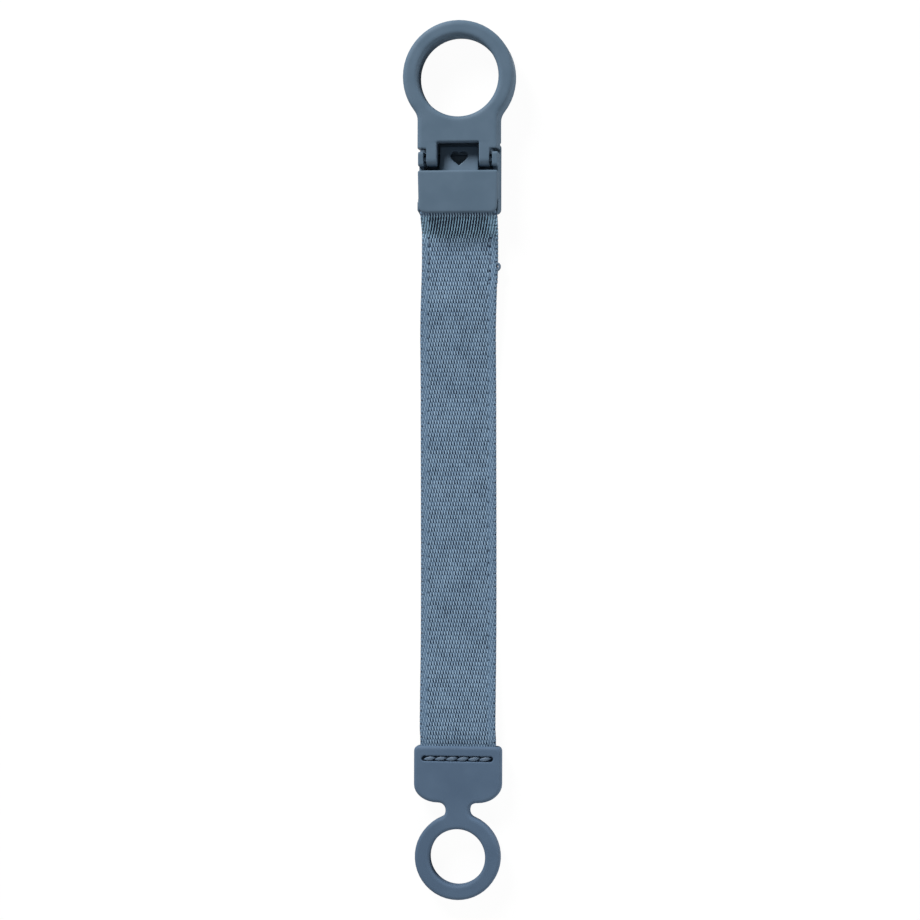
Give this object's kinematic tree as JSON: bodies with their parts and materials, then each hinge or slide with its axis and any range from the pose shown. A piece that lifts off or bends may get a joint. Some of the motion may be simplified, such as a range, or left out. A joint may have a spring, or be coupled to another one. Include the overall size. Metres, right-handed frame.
{
  "type": "soother holder clip",
  "caption": "Soother holder: a hinged ring clip that nips clothing, a woven strap sewn round the clip's bar, and a soft silicone loop for the soother's handle.",
  "frame": {"origin": "middle of the whole length and width, on the surface that the back lies on", "axes": "+X across the strap, +Y along the strap towards the ring, +Z out of the front"},
  "size_m": [0.028, 0.22, 0.0076],
  "materials": {
    "plastic": "satin moulded, grey blue",
    "webbing": "close diagonal weave, grey blue",
    "silicone": "soft matt silicone, grey blue",
    "thread": "twisted sewing thread, grey blue"
  },
  "bodies": {
    "clip": {"clip_back": "plastic", "front_plate": "plastic", "hinge_pin_left": "plastic", "hinge_pin_right": "plastic"},
    "ring_lever": {"ring_lever": "plastic"},
    "strap": {"ribbon": "webbing", "silicone_loop": "silicone", "upper_seam_left": "thread", "upper_seam_right": "thread", "lower_seam_front": "thread", "lower_seam_back": "thread"}
  },
  "joints": [
    {"name": "ring_hinge", "type": "hinge", "parent": "clip", "child": "ring_lever", "pos_m": [0, 0.0753, 0.00572], "axis": [1, 0, 0], "range_deg": [0, 90]},
    {"name": "strap_swing", "type": "hinge", "parent": "clip", "child": "strap", "pos_m": [0, 0.0624, 0.0045], "axis": [-1, 0, 0], "range_deg": [0, 35]}
  ]
}
